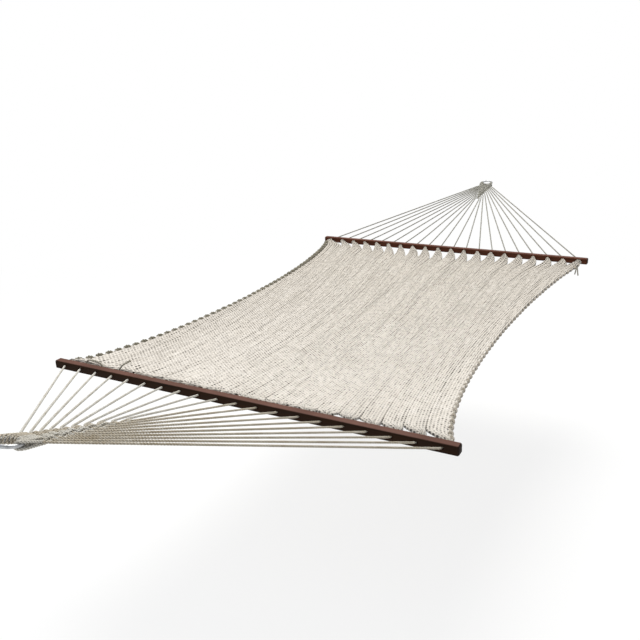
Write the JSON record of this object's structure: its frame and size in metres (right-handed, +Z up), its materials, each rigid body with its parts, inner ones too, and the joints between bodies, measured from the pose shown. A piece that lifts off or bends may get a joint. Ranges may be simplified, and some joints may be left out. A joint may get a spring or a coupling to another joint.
{
  "type": "rope hammock",
  "caption": "Spreader-bar rope hammock: woven rope bed between two drilled wooden bars, each hung from a steel ring by a fan of cords plaited into a clew.",
  "frame": {"origin": "the point of the foot ring's eye that bears on its hook", "axes": "+X from the foot ring to the head ring, through the bearing points of both rings; +Y across the bed to the left; +Z up"},
  "size_m": [3.4657, 1.397, 0.3085],
  "materials": {
    "bar_wood": "satin dark red-brown stain",
    "ring_steel": "dull galvanised",
    "cord_rope": "three-strand twisted rope, matt",
    "net_rope": "woven soft rope, matt"
  },
  "bodies": {
    "foot_ring": {"foot_ring": "ring_steel", "foot_ring_turns": "cord_rope"},
    "foot_half": {"foot_bar": "bar_wood", "foot_clew_cord_01": "cord_rope", "foot_clew_cord_02": "cord_rope", "foot_clew_cord_03": "cord_rope", "foot_clew_cord_04": "cord_rope", "foot_clew_cord_05": "cord_rope", "foot_clew_cord_06": "cord_rope", "foot_clew_cord_07": "cord_rope", "foot_clew_cord_08": "cord_rope", "foot_clew_cord_09": "cord_rope", "foot_clew_cord_10": "cord_rope", "foot_clew_weave": "cord_rope", "foot_knots": "cord_rope", "foot_loops": "net_rope", "foot_slack_loop": "cord_rope", "foot_tail": "cord_rope", "net": "net_rope", "left_edge_rope": "cord_rope", "right_edge_rope": "cord_rope"},
    "head_half": {"head_bar": "bar_wood", "head_clew_cord_01": "cord_rope", "head_clew_cord_02": "cord_rope", "head_clew_cord_03": "cord_rope", "head_clew_cord_04": "cord_rope", "head_clew_cord_05": "cord_rope", "head_clew_cord_06": "cord_rope", "head_clew_cord_07": "cord_rope", "head_clew_cord_08": "cord_rope", "head_clew_cord_09": "cord_rope", "head_clew_cord_10": "cord_rope", "head_clew_weave": "cord_rope", "head_edge_ends": "cord_rope", "head_knots": "cord_rope", "head_loops": "net_rope", "head_tails": "cord_rope"},
    "head_ring": {"head_ring": "ring_steel", "head_ring_turns": "cord_rope"}
  },
  "joints": [
    {"name": "swing", "type": "hinge", "parent": "foot_ring", "child": "foot_half", "pos_m": [0, 0, 0], "axis": [1, 0, 0], "range_deg": [-40, 40]},
    {"name": "bed_twist", "type": "hinge", "parent": "foot_half", "child": "head_half", "pos_m": [1.72405, 0, 0], "axis": [1, 0, 0], "range_deg": [-10, 10]},
    {"name": "head_ring_turn", "type": "hinge", "parent": "head_half", "child": "head_ring", "pos_m": [3.4481, 0, 0], "axis": [1, 0, 0], "range_deg": [-40, 40]}
  ],
  "couplings": [
    {"joint": "head_ring_turn", "follows": "swing", "ratio": -1}
  ]
}
